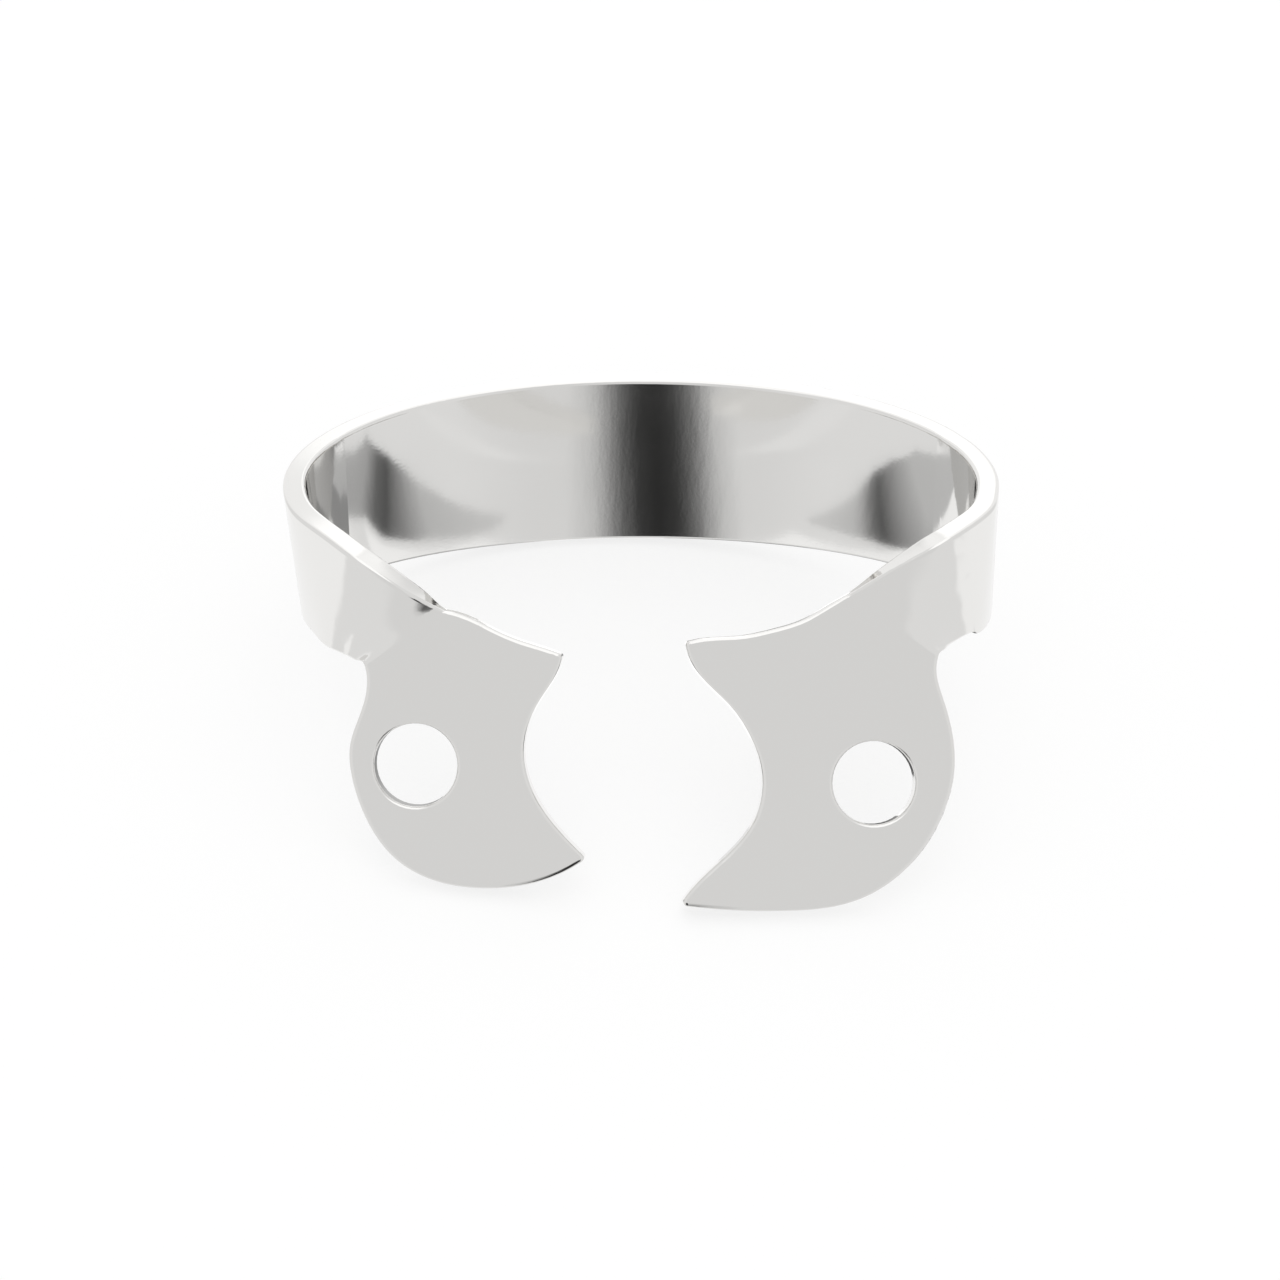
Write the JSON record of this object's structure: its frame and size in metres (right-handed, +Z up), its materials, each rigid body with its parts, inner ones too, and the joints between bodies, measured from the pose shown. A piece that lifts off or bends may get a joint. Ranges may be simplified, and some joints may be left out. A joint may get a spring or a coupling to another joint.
{
  "type": "rubber dam clamp",
  "caption": "Dental clamp of one bent steel strip: an open bow whose legs twist into flat, holed jaws with biting beaks.",
  "frame": {"origin": "centre of the bounding box at the floor the clamp stands on", "axes": "+Z up with the clamp standing on the bow's lower back edge and both jaws, +X across the clamp from the small jaw to the large one, +Y from the jaws to the back of the bow"},
  "size_m": [0.0252, 0.0208, 0.01],
  "materials": {
    "steel": "mirror polished, edges tumbled round"
  },
  "bodies": {
    "root": {"clamp": "steel"}
  },
  "joints": []
}
